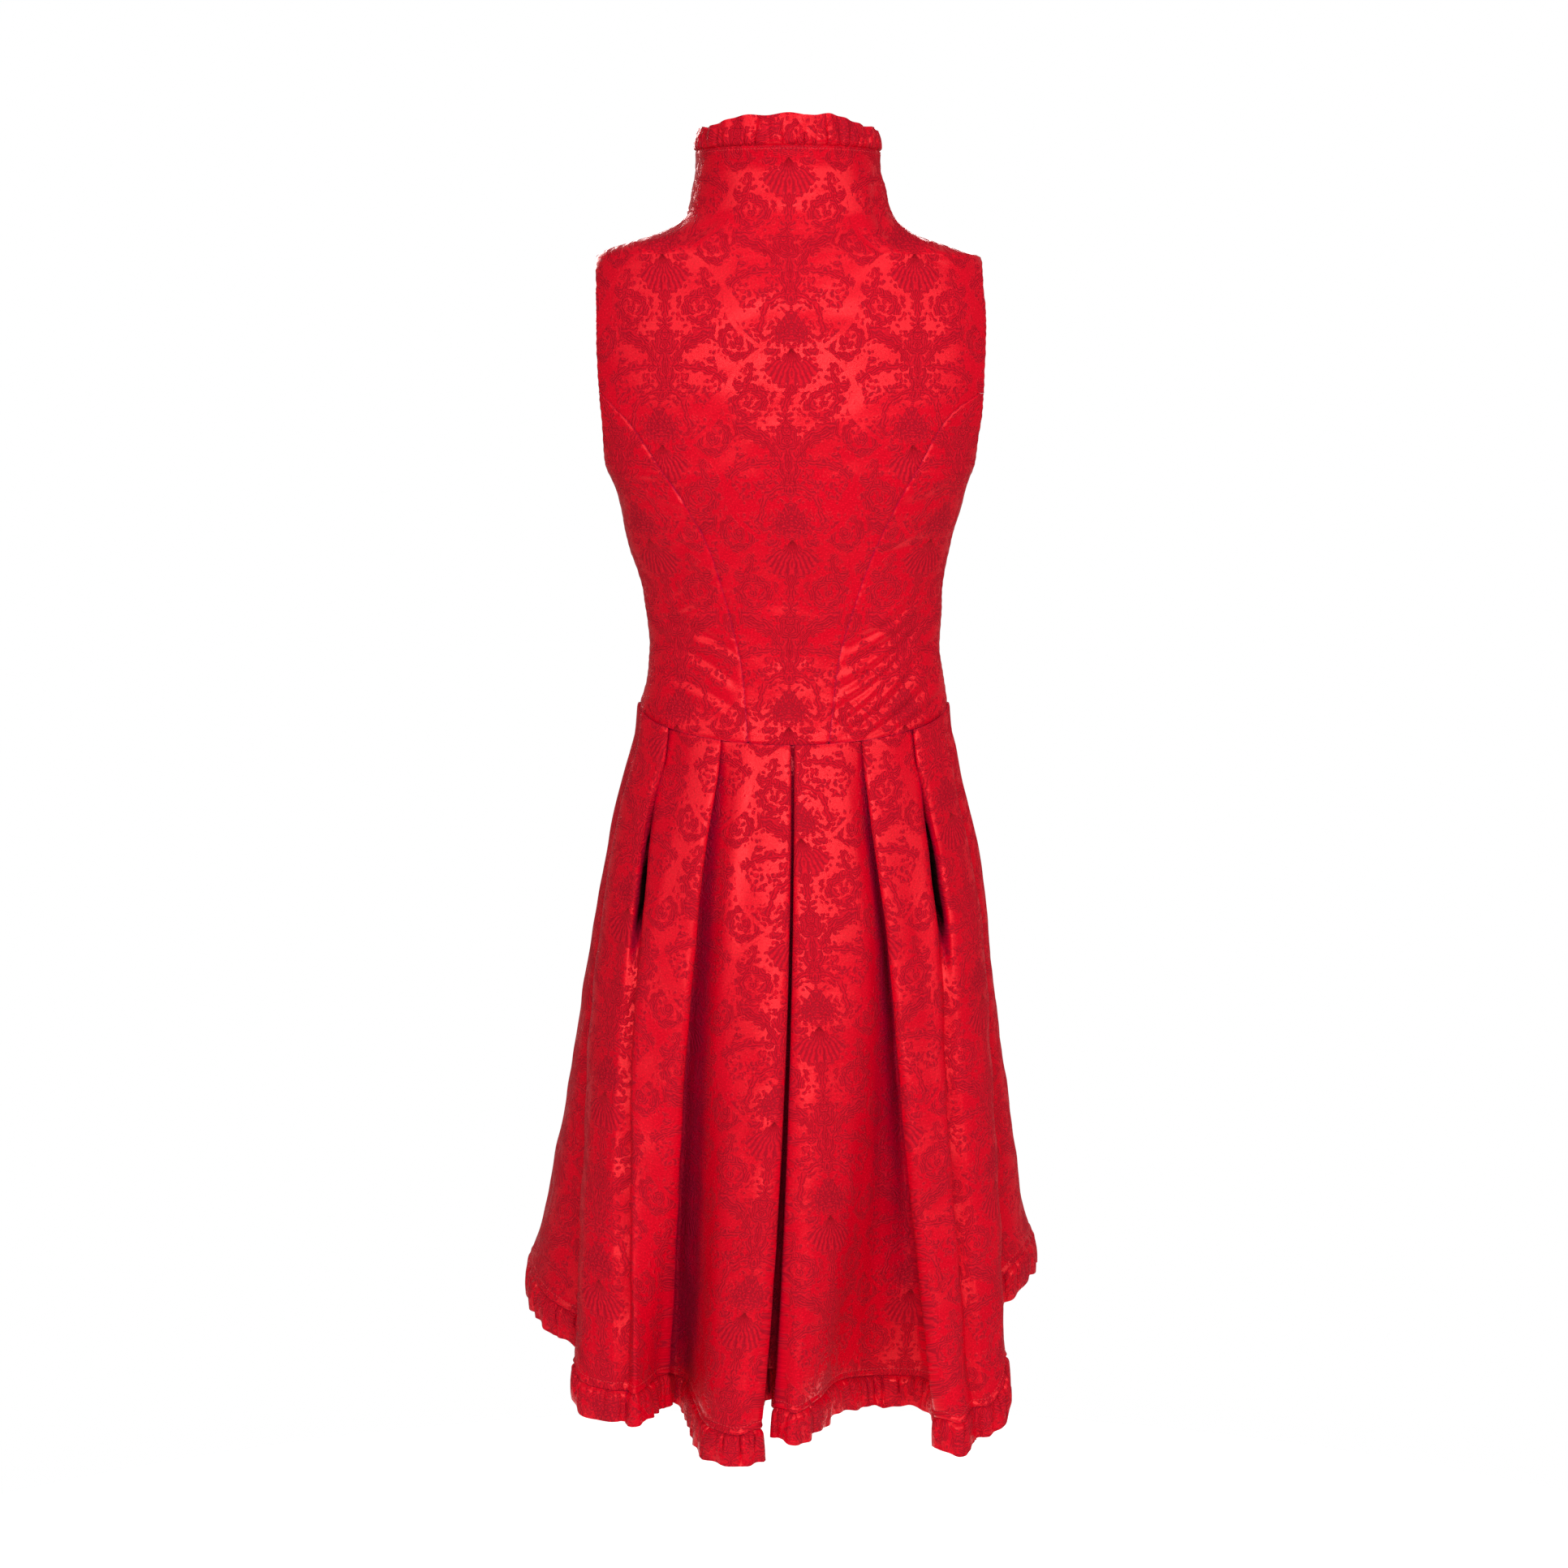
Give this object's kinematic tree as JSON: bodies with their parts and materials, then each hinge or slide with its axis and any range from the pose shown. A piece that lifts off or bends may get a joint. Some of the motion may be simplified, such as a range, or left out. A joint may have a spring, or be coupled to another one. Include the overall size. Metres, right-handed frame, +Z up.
{
  "type": "sleeveless dirndl dress, worn form",
  "caption": "Sleeveless dirndl with a high stand collar, princess-seamed bodice, pleated high-low skirt and gathered ruffles at neckline and hem, hollow as worn.",
  "frame": {"origin": "midway between the shoulder tips, where the dress hangs from the wearer's shoulders", "axes": "+Z up, centre back towards +Y, centre front towards -Y, wearer's left towards +X"},
  "size_m": [0.4443, 0.3638, 1.0928],
  "materials": {
    "back_panel": "damask weave, satin ground with a matte figure",
    "side_back_left": "damask weave, satin ground with a matte figure",
    "side_back_right": "damask weave, satin ground with a matte figure",
    "front_left": "damask weave, satin ground with a matte figure",
    "front_right": "damask weave, satin ground with a matte figure",
    "skirt_front_left": "damask weave, satin ground with a matte figure",
    "skirt_back": "damask weave, satin ground with a matte figure",
    "skirt_front_right": "damask weave, satin ground with a matte figure",
    "neck_ruffle": "damask weave, satin ground with a matte figure",
    "hem_ruffle_front_left": "damask weave, satin ground with a matte figure",
    "hem_ruffle_back": "damask weave, satin ground with a matte figure",
    "hem_ruffle_front_right": "damask weave, satin ground with a matte figure"
  },
  "bodies": {
    "root": {"back_panel": "back_panel", "side_back_left": "side_back_left", "side_back_right": "side_back_right", "front_left": "front_left", "front_right": "front_right", "skirt_front_left": "skirt_front_left", "skirt_back": "skirt_back", "skirt_front_right": "skirt_front_right", "neck_ruffle": "neck_ruffle", "hem_ruffle_front_left": "hem_ruffle_front_left", "hem_ruffle_back": "hem_ruffle_back", "hem_ruffle_front_right": "hem_ruffle_front_right"}
  },
  "joints": []
}
